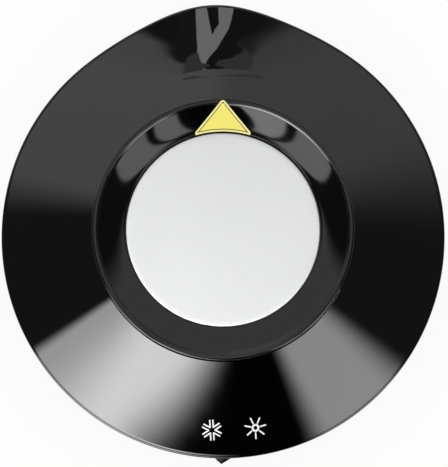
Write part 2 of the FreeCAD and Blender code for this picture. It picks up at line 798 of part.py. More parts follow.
# Base pan: floor, wall, vents, switch opening, pillars and the rear window
pan = turned_polygon([(0.0, floor_bottom), (pan_radius, floor_bottom), (pan_radius, pan_top),
                      (pan_radius - pan_wall, pan_top), (pan_radius - pan_wall, floor_top),
                      (0.0, floor_top)])
low_edge = [e for e in pan.Edges
            if e.BoundBox.ZMax < floor_bottom + 0.01 and e.BoundBox.XLength > pan_radius]
pan = pan.makeFillet(pan_edge_round, low_edge)
for x, y in four_round(case_screw_circle):
    pan = pan.fuse(rod(case_boss_radius + 1.5, x, y, floor_top - 0.5, case_boss_foot))
for side in (-1, 1):
    pan = pan.fuse(rod(pillar_radius, side * board_screw_x, -board_screw_y, floor_top - 0.5,
                       board_height))
sill = floor_top + panel_sill
window = turned_polygon([(pan_radius - pan_wall - 1.0, sill), (pan_radius + 1.0, sill),
                         (pan_radius + 1.0, pan_top + 1.0), (pan_radius - pan_wall - 1.0, pan_top + 1.0)],
                        -panel_half_deg, 2.0 * panel_half_deg)
pan = pan.cut(window)
tools = []
for x, y in four_round(case_screw_circle):
    tools.append(rod(screw_radius + screw_clearance, x, y, floor_bottom - 1.0, case_boss_foot + 1.0))
    tools.append(rod(screw_head_radius + screw_clearance, x, y, floor_bottom - 1.0,
                     floor_bottom + screw_head_height))
for side in (-1, 1):
    tools.append(rod(screw_radius + screw_clearance, side * board_screw_x, -board_screw_y,
                     board_height - 6.0,
                     board_height + 1.0))
for k in range(4):
    place = around(foot_circle, 90.0 * k)
    tools.append(rod(foot_radius + foot_clearance, place.x, place.y, floor_bottom - 1.0,
                     floor_bottom + foot_pocket))
vent_rows = int(intake_radius / vent_pitch)
for row in range(-vent_rows, vent_rows + 1):
    y = row * vent_pitch
    reach = math.sqrt(intake_radius ** 2 - y ** 2)
    if reach > 3.0:
        for side in (-1, 1):
            ends = sorted((side * 2.0, side * reach))
            tools.append(box(ends[0], ends[1], y - vent_width / 2, y + vent_width / 2,
                             floor_bottom - 1.0, floor_top + 1.0))
exhaust_step = (exhaust_last_deg - exhaust_first_deg) / (exhaust_count - 1.0)
for side in (-1, 1):
    for k in range(exhaust_count):
        slot = box(-vent_width / 2, vent_width / 2, pan_radius - pan_wall - 1.0, pan_radius + 1.0,
                   exhaust_bottom, exhaust_top)
        slot.rotate(vec(0, 0, 0), vec(0, 0, 1), -side * (exhaust_first_deg + exhaust_step * k))
        tools.append(slot)
half_flange = switch_flange_length / 2.0
half_body = switch_body_length / 2.0
seat_half = half_flange + switch_clearance
seat_half_high = switch_flange_height / 2 + switch_clearance
tools.append(box(-seat_half, seat_half, -pan_radius - 1.0, switch_seat_y,
                 switch_height - seat_half_high, switch_height + seat_half_high))
hole_half = half_body + switch_body_clearance
hole_half_high = switch_body_height / 2 + switch_body_clearance
tools.append(box(-hole_half, hole_half, -pan_radius - 1.0, -pan_radius + 2.0 * pan_wall,
                 switch_height - hole_half_high, switch_height + hole_half_high))
pan = pan.cut(group(tools))
export("base_pan", pan)

feet = []
for k in range(4):
    place = around(foot_circle, 90.0 * k)
    foot = rod(foot_radius, place.x, place.y, 0.0, floor_bottom + foot_pocket)
    bottom_edge = [e for e in foot.Edges if e.BoundBox.ZMax < 0.01]
    feet.append(foot.makeChamfer(foot_edge, bottom_edge))
export("rubber_feet", group(feet))

case_screws = [screw(x, y, floor_bottom, case_screw_length) for x, y in four_round(case_screw_circle)]
export("housing_screws", group(case_screws))

# Rear panel under the hood, with exhaust slots and the inlet hole
under_hood = hood_loft(cover_drop + panel_gap, 0.0, 0.0)
panel_inner = pan_radius - pan_wall
panel_high = cone_height(hood_crease_radius)
gap_deg = math.degrees(panel_gap / pan_radius)
panel = turned_polygon([(panel_inner, sill), (pan_radius, sill), (pan_radius, panel_high),
                        (panel_inner, panel_high)],
                       -panel_half_deg + gap_deg, 2.0 * (panel_half_deg - gap_deg))
tab_outer = panel_inner - panel_gap
tabs = turned_polygon([(tab_outer - panel_tab_depth, sill), (tab_outer, sill), (tab_outer, pan_top - 2.0),
                       (tab_outer - panel_tab_depth, pan_top - 2.0)],
                      -panel_half_deg - panel_tab_over_deg, 2.0 * (panel_half_deg + panel_tab_over_deg))
bridge = turned_polygon([(tab_outer - panel_tab_depth, sill), (panel_inner + 0.5, sill),
                         (panel_inner + 0.5, pan_top - 2.0),
                         (tab_outer - panel_tab_depth, pan_top - 2.0)],
                        -panel_half_deg + panel_tab_over_deg,
                        2.0 * (panel_half_deg - panel_tab_over_deg))
panel = panel.common(under_hood).fuse(tabs).fuse(bridge)
flat = pan_radius - panel_flat_depth
panel = panel.cut(rod_y(inlet_barrel_radius + screw_clearance, 0, inlet_height, panel_inner - 10.0,
                        pan_radius + 2.0))
panel = panel.cut(rod_y(inlet_flange_radius + 0.2, 0, inlet_height, flat, pan_radius + 2.0))
for k in range(panel_slot_count):
    angle = panel_slot_pitch_deg * (k - (panel_slot_count - 1) / 2.0)
    low = panel_slot_bottom - panel_slot_fall * (1.0 - hood_weight(pan_radius, angle))
    high = min(panel_slot_top, cover_height(pan_radius, angle) - cover_drop - panel_slot_margin)
    if high - low > panel_slot_least:
        slot = box(-panel_slot_width / 2, panel_slot_width / 2, panel_inner - 2.0, pan_radius + 1.0, low,
                   high)
        slot.rotate(vec(0, 0, 0), vec(0, 0, 1), -angle)
        panel = panel.cut(slot)
export("rear_panel", panel.removeSplitter())

inlet_front = flat + inlet_flange
inlet_back = inlet_front - inlet_length
inlet = rod_y(inlet_barrel_radius, 0, inlet_height, inlet_back, inlet_front)
inlet = inlet.fuse(rod_y(inlet_flange_radius, 0, inlet_height, flat, inlet_front))
inlet = inlet.cut(rod_y(inlet_bore_radius, 0, inlet_height, inlet_front - inlet_bore_depth,
                        inlet_front + 1.0))
inlet = inlet.cut(rod_y(inlet_pin_radius, 0, inlet_height, inlet_back - 1.0, inlet_front))
export("inlet_socket", inlet)
pin_front = inlet_front - inlet_pin_setback
export("inlet_pin", rod_y(inlet_pin_radius, 0, inlet_height, inlet_back - pin_tail, pin_front))
tab_inner = tab_outer - panel_tab_depth
nut_radius = inlet_nut_across / 2.0 / math.cos(math.radians(30))
nut_points = [vec(nut_radius * math.cos(math.radians(60 * k)), 0,
                  nut_radius * math.sin(math.radians(60 * k)))
              for k in range(6)]
nut_points.append(nut_points[0])
nut = Part.Face(Part.makePolygon(nut_points)).extrude(vec(0, inlet_nut_thickness, 0))
nut.translate(vec(0, tab_inner - inlet_nut_thickness - inlet_nut_gap, inlet_height))
nut = nut.cut(rod_y(inlet_barrel_radius + 0.05, 0, inlet_height, inlet_back - 1.0, inlet_front))
export("inlet_nut", nut)


# Rocker switch, lying flat in the front wall
flange_out = switch_seat_y - switch_flange
body_in = switch_seat_y + switch_body_depth
half_flange_h = switch_flange_height / 2.0
half_body_h = switch_body_height / 2.0
mouth = cap_radius + cap_gap
half_mouth_h = cap_height / 2.0 + cap_gap
switch = box(-half_flange, half_flange, flange_out, switch_seat_y, switch_height - half_flange_h,
             switch_height + half_flange_h)
switch = switch.fuse(box(-half_body, half_body, switch_seat_y - 0.5, body_in,
                         switch_height - half_body_h, switch_height + half_body_h))
switch = switch.cut(box(-mouth, mouth, flange_out - 1.0, body_in - switch_wall - 1.5,
                        switch_height - half_mouth_h, switch_height + half_mouth_h))
pivot_span = cap_height / 2.0 + cap_gap + pivot_depth
switch = switch.cut(rod(pivot_radius + pivot_running_gap, 0, pivot_y, switch_height - pivot_span,
                        switch_height + pivot_span))
for k in (-1, 0, 1):
    half_blade = terminal_width / 2.0
    half_edge = terminal_thickness / 2.0
    switch = switch.cut(box(k * terminal_pitch - half_edge, k * terminal_pitch + half_edge,
                            body_in - switch_wall - 0.5,
                            body_in + 1.0, switch_height - half_blade, switch_height + half_blade))
export("switch_frame", switch)

terminals = []
for k in (-1, 0, 1):
    blade = box(k * terminal_pitch - terminal_thickness / 2, k * terminal_pitch + terminal_thickness / 2,
                body_in - switch_wall - 0.5, body_in + terminal_length,
                switch_height - terminal_width / 2, switch_height + terminal_width / 2)
    blade = blade.cut(Part.makeCylinder(0.8, 4.0,
                                        vec(k * terminal_pitch - 2.0, body_in + terminal_length - 2.0,
                                            switch_height),
                                        vec(1, 0, 0)))
    terminals.append(blade)
export("switch_terminals", group(terminals))

half_cap_h = cap_height / 2.0
cap = rod(cap_radius, 0, 0, -half_cap_h, half_cap_h)
wide = cap_radius + 2.0
wide_drop = wide * math.tan(math.radians(cap_face_deg))
cap_outline = [(-wide, cap_back), (wide, cap_back), (wide, -cap_valley - wide_drop), (0.0, -cap_valley),
               (-wide, -cap_valley - wide_drop)]
cap = cap.common(prism(cap_outline, -half_cap_h, half_cap_h))
cap = cap.fuse(rod(pivot_radius, 0, 0, -half_cap_h - cap_gap - pivot_depth + 0.3,
                   half_cap_h + cap_gap + pivot_depth - 0.3))
cap.rotate(vec(0, 0, 0), vec(0, 0, 1), cap_throw_deg)
cap.translate(vec(0, pivot_y, switch_height))
export("rocker_cap", cap)

# Control board and what stands on it
half_board = board_width / 2.0
board = box(-half_board, half_board, -board_front, -board_back, board_height, board_top)
for side in (-1, 1):
    board = board.cut(rod(screw_radius + screw_clearance, side * board_screw_x, -board_screw_y,
                          board_height - 1.0, board_top + 1.0))
export("control_board", board)

board_screws = []
for side in (-1, 1):
    fixing = screw(side * board_screw_x, -board_screw_y, -screw_head_height, 5.0)
    fixing.rotate(vec(side * board_screw_x, -board_screw_y, 0), vec(0, 1, 0), 180.0)
    fixing.translate(vec(0, 0, board_top))
    board_screws.append(fixing)
export("board_screws", group(board_screws))

for name, side in (("cool_led", -1), ("heat_led", 1)):
    lamp_y = -board_front + lamp_setback
    lamp = box(side * mark_x - lamp_width / 2, side * mark_x + lamp_width / 2, lamp_y - lamp_length / 2,
               lamp_y + lamp_length / 2, board_top, board_top + lamp_height)
    lamp = lamp.cut(rod(1.1, side * mark_x, lamp_y, board_top + lamp_height - 0.3,
                        board_top + lamp_height + 1.0))
    export(name, lamp)

relay = box(-half_board + 2.0, -half_board + 2.0 + relay_width, -board_front + 4.0,
            -board_front + 4.0 + relay_length,
            board_top, board_top + relay_height)
export("board_relay", relay)
capacitor = rod(capacitor_radius, half_board - 4.0, -board_front + 8.0, board_top,
                board_top + capacitor_height)
top_edge = [e for e in capacitor.Edges if e.BoundBox.ZMin > board_top + 1.0]
export("board_capacitor", capacitor.makeFillet(0.5, top_edge))
sockets = []
for k in (-1, 0, 1):
    x = k * socket_pitch
    housing = box(x - socket_length / 2, x + socket_length / 2, -board_back - socket_width - 1.0,
                  -board_back - 1.0,
                  board_top, board_top + socket_height)
    housing = housing.cut(box(x - socket_length / 2 + 0.8, x + socket_length / 2 - 0.8,
                              -board_back - socket_width - 0.2,
                              -board_back - 1.8, board_top + 1.5, board_top + socket_height + 1.0))
    sockets.append(housing)
export("lead_sockets", group(sockets))

# Thermal cutout on the heat sink's front face, sensor in the cold block
cutout = box(-cutout_length / 2, cutout_length / 2, -half_length - cutout_thickness, -half_length,
             fin_bottom + 1.0, fin_bottom + 1.0 + cutout_height)
export("thermal_cutout", cutout)
sensor = rod_y(sensor_radius, 0, sensor_height, -half_block - 1.5, -half_block + sensor_depth - 0.2)
export("temperature_sensor", sensor)


# Leads: each is a tube of straight runs joined by tangent arcs
def lead(points, radius=lead_radius):
    """Round lead along straight runs with an arc at every inner point."""
    corners = [vec(*p) for p in points]
    edges = []
    start = corners[0]
    for i in range(1, len(corners) - 1):
        into = (corners[i] - corners[i - 1])
        away = (corners[i + 1] - corners[i])
        run = min(into.Length, away.Length)
        into.normalize()
        away.normalize()
        half_turn = into.getAngle(away) / 2.0
        back = 0.45 * run
        bend = back / math.tan(half_turn)
        arc_start = corners[i] - into * back
        arc_end = corners[i] + away * back
        inward = (away - into)
        inward.normalize()
        middle = corners[i] + inward * (bend / math.cos(half_turn) - bend)
        edges.append(line(start, arc_start))
        edges.append(arc(arc_start, middle, arc_end))
        start = arc_end
    edges.append(line(start, corners[-1]))
    path_wire = Part.Wire(edges)
    first = corners[1] - corners[0]
    section = Part.Wire(Part.makeCircle(radius, corners[0], first))
    tube = path_wire.makePipeShell([section], True, False)
    expected = math.pi * radius ** 2 * path_wire.Length
    print("lead length", round(path_wire.Length, 1), "volume ratio", round(tube.Volume / expected, 4))
    return tube


socket_y = -board_back - 1.0 - socket_width / 2.0
socket_top = board_top + 1.5
notch_z = sink_top + 1.0
past_sink_y = -half_length - 2.5
drop_y = socket_y + 6.0

module_leads = []
for k in (0, 1):
    x = 3.0 + 3.0 * k
    end_x = 2.4 * k - 1.2
    module_leads.append(lead([(x, -half_module, notch_z), (x, past_sink_y, notch_z),
                              ((x + end_x) / 2.0, drop_y, notch_z - 4.0),
                              (end_x, socket_y, notch_z - 7.0), (end_x, socket_y, socket_top)]))
export("module_leads", group(module_leads))

sensor_leads = []
for side in (-1, 1):
    x = side * 0.6
    head_y = -half_block - 1.5
    end_x = -socket_pitch + side * 1.0
    sensor_leads.append(lead([(x, head_y, sensor_height), (x, head_y - 6.0, sensor_height),
                              (x, head_y - 8.0, notch_z),
                              (x - 0.5, past_sink_y, notch_z + 0.2), (end_x * 0.5, drop_y, notch_z - 4.0),
                              (end_x, socket_y, notch_z - 7.0), (end_x, socket_y, socket_top)], 0.45))
export("sensor_leads", group(sensor_leads))

# The supply leads run round the fan between the sink and the case screws
supply_leads = []
supply_z = inlet_height - 2.5
for k, start_y in ((0, inlet_back - pin_tail), (1, inlet_back)):
    out = 2.0 * k
    end_x = socket_pitch - 1.0 + 2.0 * k
    supply_leads.append(lead([(3.0 * k, start_y, inlet_height),
                              (3.0 * k, start_y - 6.0 + k, inlet_height),
                              (20.0 + out, 46.0 + out, supply_z),
                              (35.0 + out, 36.0 + out, supply_z - 0.5),
                              (46.0 + out, 20.0, supply_z), (48.0 + out, 0.0, supply_z + 0.5),
                              (46.0 + out, -20.0, supply_z), (35.0 + out, -36.5 - 0.6 * out, supply_z),
                              (24.0 + 0.6 * out, -38.5 - 0.8 * out, supply_z + 3.0),
                              (14.0 + out, -38.0 - 0.8 * out, notch_z - 12.0),
                              (end_x + 1.0, socket_y + 3.0, notch_z - 6.5),
                              (end_x, socket_y, notch_z - 8.5), (end_x, socket_y, socket_top)]))
export("supply_leads", group(supply_leads))

fan_leads = []
for k in (0, 1):
    x = 8.0 + lead_pitch * k
    fan_leads.append(lead([(x, -half_fan, fan_bottom + 3.0), (x, -half_fan - 6.0, fan_bottom + 3.0),
                           (x + 0.4, -half_fan - 14.0, fan_bottom + 3.6),
                           (x + 0.6, -half_fan - 19.0, fan_bottom + 6.0),
                           (x + 0.6, -half_fan - 19.0, board_height)]))
export("fan_leads", group(fan_leads))

switch_leads = []
for k in (-1, 0, 1):
    tag_y = body_in + terminal_length
    switch_leads.append(lead([(k * terminal_pitch, tag_y, switch_height),
                              (k * terminal_pitch, tag_y + 3.5, switch_height),
                              (k * 4.0, tag_y + 6.0, switch_height + 2.5),
                              (k * 4.0, tag_y + 6.0, board_height)]))
export("switch_leads", group(switch_leads))
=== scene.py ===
import json
import math

import bmesh
import bpy
import numpy as np
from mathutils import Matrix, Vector


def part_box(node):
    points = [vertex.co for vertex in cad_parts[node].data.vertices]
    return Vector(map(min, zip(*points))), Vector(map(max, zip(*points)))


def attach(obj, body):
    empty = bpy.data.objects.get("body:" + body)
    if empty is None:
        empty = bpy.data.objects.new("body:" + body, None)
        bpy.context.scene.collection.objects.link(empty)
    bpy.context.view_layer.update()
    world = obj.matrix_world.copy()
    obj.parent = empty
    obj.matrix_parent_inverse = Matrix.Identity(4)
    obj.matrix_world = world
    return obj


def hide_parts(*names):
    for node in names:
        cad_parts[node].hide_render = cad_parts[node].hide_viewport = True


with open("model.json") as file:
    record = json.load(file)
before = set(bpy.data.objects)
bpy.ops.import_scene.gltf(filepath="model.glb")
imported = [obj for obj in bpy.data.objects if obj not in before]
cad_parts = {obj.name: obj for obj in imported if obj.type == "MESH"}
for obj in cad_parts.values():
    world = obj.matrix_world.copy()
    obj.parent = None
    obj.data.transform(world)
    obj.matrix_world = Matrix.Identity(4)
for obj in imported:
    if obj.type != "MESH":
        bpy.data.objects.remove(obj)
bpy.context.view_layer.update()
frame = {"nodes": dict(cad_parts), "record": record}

# Camera. The photograph looks almost straight down from a metre away, tipped five degrees
# towards the rocker side and turned three degrees, so the rocker lies at the bottom.
photo_width, photo_height = 448, 467
view_height = math.radians(85.0)
view_turn = math.radians(3.1)
camera_distance = 1.0
rim_pixels, rim_size = 221.4, 0.075
rim_level = 0.0163
rim_centre_pixel = (223.1, 236.3)
camera_data = bpy.data.cameras.new("camera")
camera_data.sensor_width = 36.0
camera_data.sensor_fit = "HORIZONTAL"
camera_data.lens = rim_pixels / rim_size * camera_distance / photo_width * camera_data.sensor_width
camera = bpy.data.objects.new("camera", camera_data)
bpy.context.scene.collection.objects.link(camera)
back = Vector((-math.sin(view_turn) * math.cos(view_height), -math.cos(view_turn) * math.cos(view_height),
               math.sin(view_height)))
turn = back.to_track_quat("Z", "Y")
metre_per_pixel = rim_size / rim_pixels
aim = Vector((0, 0, rim_level))
aim += turn @ Vector(((photo_width / 2 - rim_centre_pixel[0]) * metre_per_pixel, 0, 0))
aim += turn @ Vector((0, (rim_centre_pixel[1] - photo_height / 2) * metre_per_pixel, 0))
camera.location = aim + back * camera_distance
camera.rotation_euler = turn.to_euler()
bpy.context.scene.camera = camera
bpy.context.scene.view_settings.view_transform = "Standard"


# Cover. A single moulding in gloss black ABS: a 36 degree cone with a rolled rim, pulled up
# at the rear into a hood over the power inlet, and screwed to the base pan from below.
cover_rim, rim_lip, rim_undercut, rim_edge_height = 0.0742, 0.0011, 0.0006, 0.0174
cover_slope = math.tan(math.radians(36.0))
cover_drop = 0.002 / math.cos(math.radians(36.0))
cover_inner = 0.0436
crease_radius, crease_blend = 0.055, 0.00005
hood_apex, hood_fan = 0.046, math.radians(72.0)
hood_rise, hood_reach = 0.0149, 0.0017


def hood_weight(radius, azimuth):
    """Raised cosine of the angle seen from the hood's apex: 1 on the rear axis, 0 at the fan's edge."""
    fan = np.abs(np.arctan2(radius * np.sin(azimuth), radius * np.cos(azimuth) - hood_apex))
    return np.where(fan < hood_fan, 0.5 + 0.5 * np.cos(np.pi * fan / hood_fan), 0.0)


def cover_height(radius, azimuth):
    """Cone falling outwards, plus the hood: rise times distance past the crease times weight.
    The crease is a parabola between the flat part and the straight rise."""
    past = radius - crease_radius
    bend = (past + crease_blend) ** 2 / (4 * crease_blend)
    ramp = np.where(past < -crease_blend, 0.0, np.where(past < crease_blend, bend, past))
    lift = hood_rise * ramp / (cover_rim - crease_radius) * hood_weight(radius, azimuth)
    return rim_edge_height + (cover_rim - radius) * cover_slope + lift


def ring_grid(name, radius, height, azimuth):
    """Closed skin from grids of radius and height, rows round the axis and columns along the outline.
    Both directions close on themselves, and x = r sin a, y = r cos a."""
    rows, columns = radius.shape
    points = np.stack([radius * np.sin(azimuth), radius * np.cos(azimuth), height], axis=-1).reshape(-1, 3)
    row, column = np.meshgrid(np.arange(rows), np.arange(columns), indexing="ij")
    next_row, next_column = (row + 1) % rows, (column + 1) % columns
    faces = np.stack([row * columns + column, next_row * columns + column,
                      next_row * columns + next_column, row * columns + next_column], axis=-1).reshape(-1, 4)
    mesh = bpy.data.meshes.new(name)
    mesh.from_pydata(points.tolist(), [], faces.tolist())
    return smooth_piece(name, mesh)


def smooth_piece(name, mesh, sharp=40.0):
    """Object with outward normals, smooth except across edges sharper than the given angle."""
    work = bmesh.new()
    work.from_mesh(mesh)
    bmesh.ops.remove_doubles(work, verts=work.verts, dist=1e-6)
    bmesh.ops.recalc_face_normals(work, faces=work.faces)
    work.to_mesh(mesh)
    work.free()
    mesh.polygons.foreach_set("use_smooth", [True] * len(mesh.polygons))
    mesh.set_sharp_from_angle(angle=math.radians(sharp))
    piece = bpy.data.objects.new(name, mesh)
    bpy.context.scene.collection.objects.link(piece)
    return piece


def link_all(material, wires):
    for start, socket, end, target in wires:
        material.node_tree.links.new(start.outputs[socket], end.inputs[target])


def moulded(name, dark, light, rough, grain, grain_height, speck=900.0):
    """Moulded plastic or rubber: colour drifts between two tones, gloss varies with a broad cloud,
    and a fine noise of the given size (per metre) and height stands for the tool's surface."""
    material = bpy.data.materials.new(name)
    material.use_nodes = True
    nodes = material.node_tree.nodes
    shader = nodes["Principled BSDF"]
    place = nodes.new("ShaderNodeTexCoord")
    cloud = nodes.new("ShaderNodeTexNoise")
    cloud.inputs["Scale"].default_value = 35.0
    cloud.inputs["Detail"].default_value = 3.0
    fine = nodes.new("ShaderNodeTexNoise")
    fine.inputs["Scale"].default_value = grain
    fine.inputs["Detail"].default_value = 2.0
    tone = nodes.new("ShaderNodeMix")
    tone.data_type = "RGBA"
    tone.inputs[6].default_value = (*dark, 1)
    tone.inputs[7].default_value = (*light, 1)
    gloss = nodes.new("ShaderNodeMapRange")
    gloss.inputs["From Min"].default_value = 0.3
    gloss.inputs["From Max"].default_value = 0.7
    gloss.inputs["To Min"].default_value = rough[0]
    gloss.inputs["To Max"].default_value = rough[1]
    bump = nodes.new("ShaderNodeBump")
    bump.inputs["Strength"].default_value = 1.0
    bump.inputs["Distance"].default_value = grain_height
    link_all(material, [(place, "Object", cloud, "Vector"), (place, "Object", fine, "Vector"),
                        (cloud, "Fac", tone, "Factor"), (cloud, "Fac", gloss, "Value"),
                        (fine, "Fac", bump, "Height"),
                        (gloss, "Result", shader, "Roughness"), (bump, "Normal", shader, "Normal")])
    material.node_tree.links.new(tone.outputs[2], shader.inputs["Base Color"])
    return material


gloss_black = moulded("gloss_black_abs", (0.0006, 0.0006, 0.0007), (0.0010, 0.0010, 0.0011), (0.035, 0.055),
                      260.0, 2.5e-7)
gloss_black.node_tree.nodes["Principled BSDF"].inputs["IOR"].default_value = 1.56

hood_side = math.radians(38.0)  # the azimuths are closer together within this angle of the hood
azimuth = np.concatenate([np.linspace(-hood_side, hood_side, 160, endpoint=False),
                          np.linspace(hood_side, 2 * np.pi - hood_side, 240, endpoint=False)])[:, None]
reach = cover_rim + hood_reach * hood_weight(cover_rim, azimuth)
above_crease = np.linspace(cover_inner, crease_radius - crease_blend, 32)[None, :] + 0 * azimuth
below_crease = np.linspace(0, 1, 60)[None, :]
below_crease = crease_radius + crease_blend + (reach - crease_radius - crease_blend) * below_crease
top_radius = np.hstack([above_crease, crease_radius + 0 * azimuth, below_crease])
top_height = cover_height(top_radius, azimuth)
undercut = reach - rim_undercut
back_in = np.linspace(0, 1, 30)[None, :]
under_radius = undercut + (cover_inner - undercut) * back_in
under_height = cover_height(under_radius, azimuth) - cover_drop
edge_top, edge_under = top_height[:, -1:], under_height[:, :1]
swing = np.linspace(0, np.pi, 14)[None, 1:-1]
nose_radius = (reach + undercut) / 2 + (reach - undercut) / 2 * np.cos(swing) + rim_lip * np.sin(swing)
nose_height = (edge_top + edge_under) / 2 + (edge_top - edge_under) / 2 * np.cos(swing)
cover = ring_grid("cover", np.hstack([top_radius, nose_radius, under_radius]),
                  np.hstack([top_height, nose_height, under_height]), azimuth)
cover.data.materials.append(gloss_black)
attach(cover, "base")
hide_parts("upper_shell")


# Dish ring. A second gloss black moulding dropped into the cover: a round bead on its outer
# edge, then a shallow dish that falls to the plate, held by four screws from below.
dish_inner, dish_inner_height = 0.0325, 0.0421
dish_outer_height = 0.0438
bead_radius, bead_crest = 0.0009, 0.04435
ring_outer = cover_inner - 0.0003
bead_centre = ring_outer - bead_radius
dish_outer = bead_centre - bead_radius


def dish_height(radius):
    """Arc through the dish's inner edge, a middle point 0.25 mm below the chord, and its outer edge."""
    across = (radius - dish_inner) / (dish_outer - dish_inner)
    chord = dish_inner_height + (dish_outer_height - dish_inner_height) * across
    return chord - 0.001 * across * (1 - across)


def bead_height(radius):
    """Flattened half round: rise times the fourth root of one minus the fourth power of the offset."""
    offset = np.clip(np.abs(radius - bead_centre) / bead_radius, 0, 1)
    return dish_outer_height - 0.0001 + (bead_crest - dish_outer_height + 0.0001) * (1 - offset ** 4) ** 0.25


skirt_wall, skirt_foot, skirt_top = 0.002, 0.036, 0.0418
well_radius, well_height = 0.0348, 0.0401
seat_inner, seat_top, seat_bottom = 0.0294, 0.0387, 0.0374
inner_break, inner_drop = 0.00012, 0.0002
across = np.linspace(dish_inner, dish_outer, 40)
crown = bead_centre - bead_radius * np.cos(np.linspace(0, np.pi, 41))
outline_radius = np.concatenate([[dish_inner, dish_inner, dish_inner + inner_break], across[1:-1], crown[1:],
                                 [ring_outer, ring_outer - skirt_wall, ring_outer - skirt_wall,
                                  well_radius, well_radius, seat_inner, seat_inner]])
outline_height = np.concatenate([[seat_top, dish_inner_height - inner_drop, dish_inner_height],
                                 dish_height(across[1:-1]), bead_height(crown[1:]),
                                 [skirt_foot, skirt_foot, skirt_top,
                                  well_height, seat_bottom, seat_bottom, seat_top]])
full_turn = np.linspace(0, 2 * np.pi, 360, endpoint=False)[:, None]
dish = ring_grid("dish_bowl", outline_radius[None, :] + 0 * full_turn,
                 outline_height[None, :] + 0 * full_turn, full_turn)
dish.data.materials.append(gloss_black)
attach(dish, "base")
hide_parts("dish_ring")


# Plate. A turned aluminium disc 3 mm thick, bead blasted to an even satin, with its edge left
# bright where the tool broke it. The mug stands on it and the cold block lies under it.
plate_low, plate_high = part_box("cup_plate")
plate_radius, plate_top, plate_bottom = plate_high.x, plate_high.z, plate_low.z
edge_break = 0.0004


def blasted_aluminium():
    """Bright metal with a fine speckle: noise drives the dents, the gloss and a faint tone."""
    material = bpy.data.materials.new("blasted_aluminium")
    material.use_nodes = True
    nodes = material.node_tree.nodes
    shader = nodes["Principled BSDF"]
    shader.inputs["Metallic"].default_value = 1.0
    place = nodes.new("ShaderNodeTexCoord")
    grit = nodes.new("ShaderNodeTexNoise")
    grit.inputs["Scale"].default_value = 2600.0
    grit.inputs["Detail"].default_value = 2.0
    cloud = nodes.new("ShaderNodeTexNoise")
    cloud.inputs["Scale"].default_value = 45.0
    tone = nodes.new("ShaderNodeMix")
    tone.data_type = "RGBA"
    tone.inputs[6].default_value = (0.70, 0.70, 0.704, 1)
    tone.inputs[7].default_value = (0.76, 0.76, 0.764, 1)
    gloss = nodes.new("ShaderNodeMapRange")
    gloss.inputs["To Min"].default_value = 0.52
    gloss.inputs["To Max"].default_value = 0.62
    bump = nodes.new("ShaderNodeBump")
    bump.inputs["Strength"].default_value = 0.5
    bump.inputs["Distance"].default_value = 4e-6
    link_all(material, [(place, "Object", grit, "Vector"), (place, "Object", cloud, "Vector"),
                        (cloud, "Fac", gloss, "Value"), (grit, "Fac", tone, "Factor"),
                        (grit, "Fac", bump, "Height"),
                        (gloss, "Result", shader, "Roughness"), (bump, "Normal", shader, "Normal")])
    material.node_tree.links.new(tone.outputs[2], shader.inputs["Base Color"])
    return material


broken = np.linspace(0, np.pi / 2, 6)[1:]
plate_radii = np.concatenate([[0.0], np.linspace(0.004, plate_radius - edge_break, 24),
                              plate_radius - edge_break + edge_break * np.sin(broken), [plate_radius, 0.0]])
plate_heights = np.concatenate([[plate_top], np.full(24, plate_top),
                                plate_top - edge_break + edge_break * np.cos(broken),
                                [plate_bottom, plate_bottom]])
plate = ring_grid("plate", plate_radii[None, :] + 0 * full_turn, plate_heights[None, :] + 0 * full_turn,
                  full_turn)
plate.data.materials.append(blasted_aluminium())
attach(plate, "base")
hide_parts("cup_plate")


# Marks. White light guides moulded through the cover over the two lamps: a snowflake of six
# chevrons on the left for cooling, a seven-rayed sun on the right for heating.
mark_x, mark_y, stroke_half = 0.0073, 0.0654, 0.00024
mark_proud, mark_depth = 0.00004, 0.0004


def stroke_strip(start, end, half, steps=14, cap_steps=7):
    """Bar with round ends in plan: stations along its length, each with the bar's half width there,
    half times the square root of one minus the square of the distance into the round end."""
    start, end = np.array(start), np.array(end)
    length = np.linalg.norm(end - start)
    along = (end - start) / length
    side = np.array([-along[1], along[0]])
    swing = np.linspace(0, np.pi / 2, cap_steps)
    cap = half * np.sin(swing)
    station = np.concatenate([-half * np.cos(swing), np.linspace(0, length, steps)[1:-1],
                              length + half * np.cos(swing[::-1])])
    width = np.concatenate([cap, np.full(steps - 2, half), cap[::-1]])
    centre = start + station[:, None] * along
    return centre - width[:, None] * side, centre + width[:, None] * side


def film_faces(rows, columns, base=0):
    """Faces of a closed film: a grid of points, the same grid below it, and a wall round both.
    Points are numbered row by row from base, the upper grid first."""
    count = rows * columns
    row, column = np.meshgrid(np.arange(rows - 1), np.arange(columns - 1), indexing="ij")
    first = (row * columns + column).ravel() + base
    quads = np.stack([first, first + 1, first + columns + 1, first + columns], axis=-1)
    edge = np.concatenate([np.arange(columns), np.arange(1, rows) * columns + columns - 1,
                           np.arange(count - 2, count - columns - 1, -1),
                           np.arange(rows - 2, 0, -1) * columns]) + base
    following = np.roll(edge, -1)
    walls = np.stack([edge, following, following + count, edge + count], axis=-1)
    return quads.tolist() + (quads[:, ::-1] + count).tolist() + walls.tolist()


